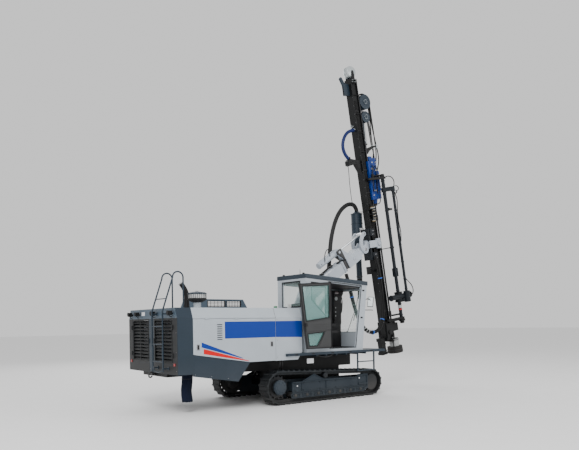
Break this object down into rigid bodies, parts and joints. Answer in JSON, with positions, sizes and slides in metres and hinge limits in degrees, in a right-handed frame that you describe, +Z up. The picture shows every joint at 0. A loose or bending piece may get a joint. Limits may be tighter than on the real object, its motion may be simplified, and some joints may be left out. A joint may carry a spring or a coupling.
{
  "type": "crawler drilling rig",
  "caption": "Tracked top hammer drilling rig: carrier with cab and louvred hood, telescopic boom, long feed with drifter, rod changer and dust hood.",
  "frame": {"origin": "on the ground under the middle of the machine's overall length and width", "axes": "+X forward, towards the feed; -Y towards the cab; +Z up"},
  "size_m": [8.3365, 2.7017, 9.0668],
  "materials": {
    "track": "worn",
    "slate": "satin",
    "dark": "satin",
    "black": "satin",
    "white": "gloss",
    "boom": "gloss",
    "chrome": "polished",
    "blue": "satin",
    "steel": "worn",
    "glass": "clear",
    "rubber": "matte",
    "fabric": "matte",
    "plastic": "matte",
    "engine": "cast"
  },
  "bodies": {
    "carrier": {"track_near": "track", "track_far": "track", "track_frames": "slate", "running_gear": "dark", "main_frame": "black", "engine_block": "engine", "rear_housing": "slate", "louvre_doors": "dark", "side_panels": "white", "hood_top": "white", "skirts": "slate", "top_guard": "slate", "rear_ladder": "slate", "exhaust": "black", "air_precleaner": "black", "rear_lamps": "black", "dust_sleeve": "fabric", "walkway": "slate", "cab_shell": "white", "cab_roof": "slate", "cab_glass": "glass", "cab_fittings": "plastic", "boom_tower": "boom"},
    "door_near": {"side_door_near": "white"},
    "door_far": {"side_door_far": "white"},
    "cab_door": {"cab_door": "dark", "door_glass": "glass"},
    "boom_foot": {"boom_bracket": "boom"},
    "outer_boom": {"outer_boom": "boom"},
    "inner_boom": {"inner_boom": "boom"},
    "lift_barrel": {"lift_barrel": "boom"},
    "lift_rod": {"lift_rod": "chrome"},
    "tilt_barrel": {"tilt_barrel": "boom"},
    "tilt_rod": {"tilt_rod": "chrome"},
    "tilt_head": {"tilt_head": "boom"},
    "feed_cradle": {"feed_cradle": "boom", "dust_cyclone": "slate", "suction_hose": "rubber"},
    "feed": {"feed_beam": "black", "feed_sheaves": "slate", "feed_foot": "black"},
    "drifter": {"drifter": "blue"},
    "drill_rod": {"drill_rod": "steel"},
    "rod_changer": {"rod_changer": "slate"},
    "dust_hood": {"dust_hood": "rubber"}
  },
  "joints": [
    {"name": "boom_swing", "type": "hinge", "parent": "carrier", "child": "boom_foot", "pos_m": [0.35, 0.28, 1.9], "axis": [0, 0, 1], "range_deg": [-8, 40]},
    {"name": "boom_lift", "type": "hinge", "parent": "boom_foot", "child": "outer_boom", "pos_m": [0.55, 0.28, 2.55], "axis": [0, -1, 0], "range_deg": [-45, 15]},
    {"name": "boom_extend", "type": "slide", "parent": "outer_boom", "child": "inner_boom", "axis": [0.8315, 0, 0.5556], "range_m": [-0.1, 0.8]},
    {"name": "feed_tilt", "type": "hinge", "parent": "inner_boom", "child": "tilt_head", "pos_m": [2.6004, 0.28, 3.92004], "axis": [0, 1, 0], "range_deg": [-70, 30]},
    {"name": "feed_swing", "type": "hinge", "parent": "tilt_head", "child": "feed_cradle", "pos_m": [2.79999, 0.28, 4.0781], "axis": [0.9848, 0, 0.1736], "range_deg": [-30, 30], "deforming": ["suction_hose"]},
    {"name": "feed_slide", "type": "slide", "parent": "feed_cradle", "child": "feed", "axis": [-0.1736, 0, 0.9848], "range_m": [-0.45, 0.75]},
    {"name": "drifter_feed", "type": "slide", "parent": "feed", "child": "drifter", "axis": [-0.1736, 0, 0.9848], "range_m": [-3.2, 0.3]},
    {"name": "rod_spin", "type": "hinge", "parent": "drifter", "child": "drill_rod", "pos_m": [3.26056, 0.28, 4.92133], "axis": [-0.1736, 0, 0.9848], "continuous": true},
    {"name": "changer_swing", "type": "hinge", "parent": "feed", "child": "rod_changer", "pos_m": [3.57701, -0.01, 3.9617], "axis": [-0.1736, 0, 0.9848], "range_deg": [0, 89]},
    {"name": "hood_lower", "type": "slide", "parent": "feed", "child": "dust_hood", "axis": [-0.1736, 0, 0.9848], "range_m": [-0.3, 0]},
    {"name": "door_hinge", "type": "hinge", "parent": "carrier", "child": "cab_door", "pos_m": [0.06, -1.25, 2], "axis": [0, 0, 1], "range_deg": [0, 172]},
    {"name": "service_door_near", "type": "hinge", "parent": "carrier", "child": "door_near", "pos_m": [-2.58, -1.24, 1.975], "axis": [-1, 0, 0], "range_deg": [0, 85]},
    {"name": "service_door_far", "type": "hinge", "parent": "carrier", "child": "door_far", "pos_m": [-2.58, 1.24, 1.975], "axis": [1, 0, 0], "range_deg": [0, 85]},
    {"name": "lift_barrel_turn", "type": "hinge", "parent": "boom_foot", "child": "lift_barrel", "pos_m": [0.69, 0.28, 1.8443], "axis": [0, -1, 0], "range_deg": [-35.35, 12.45]},
    {"name": "lift_rod_out", "type": "slide", "parent": "lift_barrel", "child": "lift_rod", "axis": [0.6458, 0, 0.7635], "range_m": [-0.5094, 0.1765]},
    {"name": "tilt_barrel_turn", "type": "hinge", "parent": "inner_boom", "child": "tilt_barrel", "pos_m": [1.64701, 0.28, 3.78813], "axis": [0, 1, 0], "range_deg": [-1.03, 1.01]},
    {"name": "tilt_rod_out", "type": "slide", "parent": "tilt_barrel", "child": "tilt_rod", "axis": [0.8449, 0, 0.5349], "range_m": [-0.5189, 0.2281]}
  ],
  "couplings": [
    {"joint": "lift_barrel_turn", "follows": "boom_lift", "ratio": 0.7633},
    {"joint": "lift_rod_out", "follows": "boom_lift", "m_per_rad": 0.6358},
    {"joint": "tilt_barrel_turn", "follows": "feed_tilt", "ratio": 0.0004},
    {"joint": "tilt_rod_out", "follows": "feed_tilt", "m_per_rad": 0.4165}
  ]
}
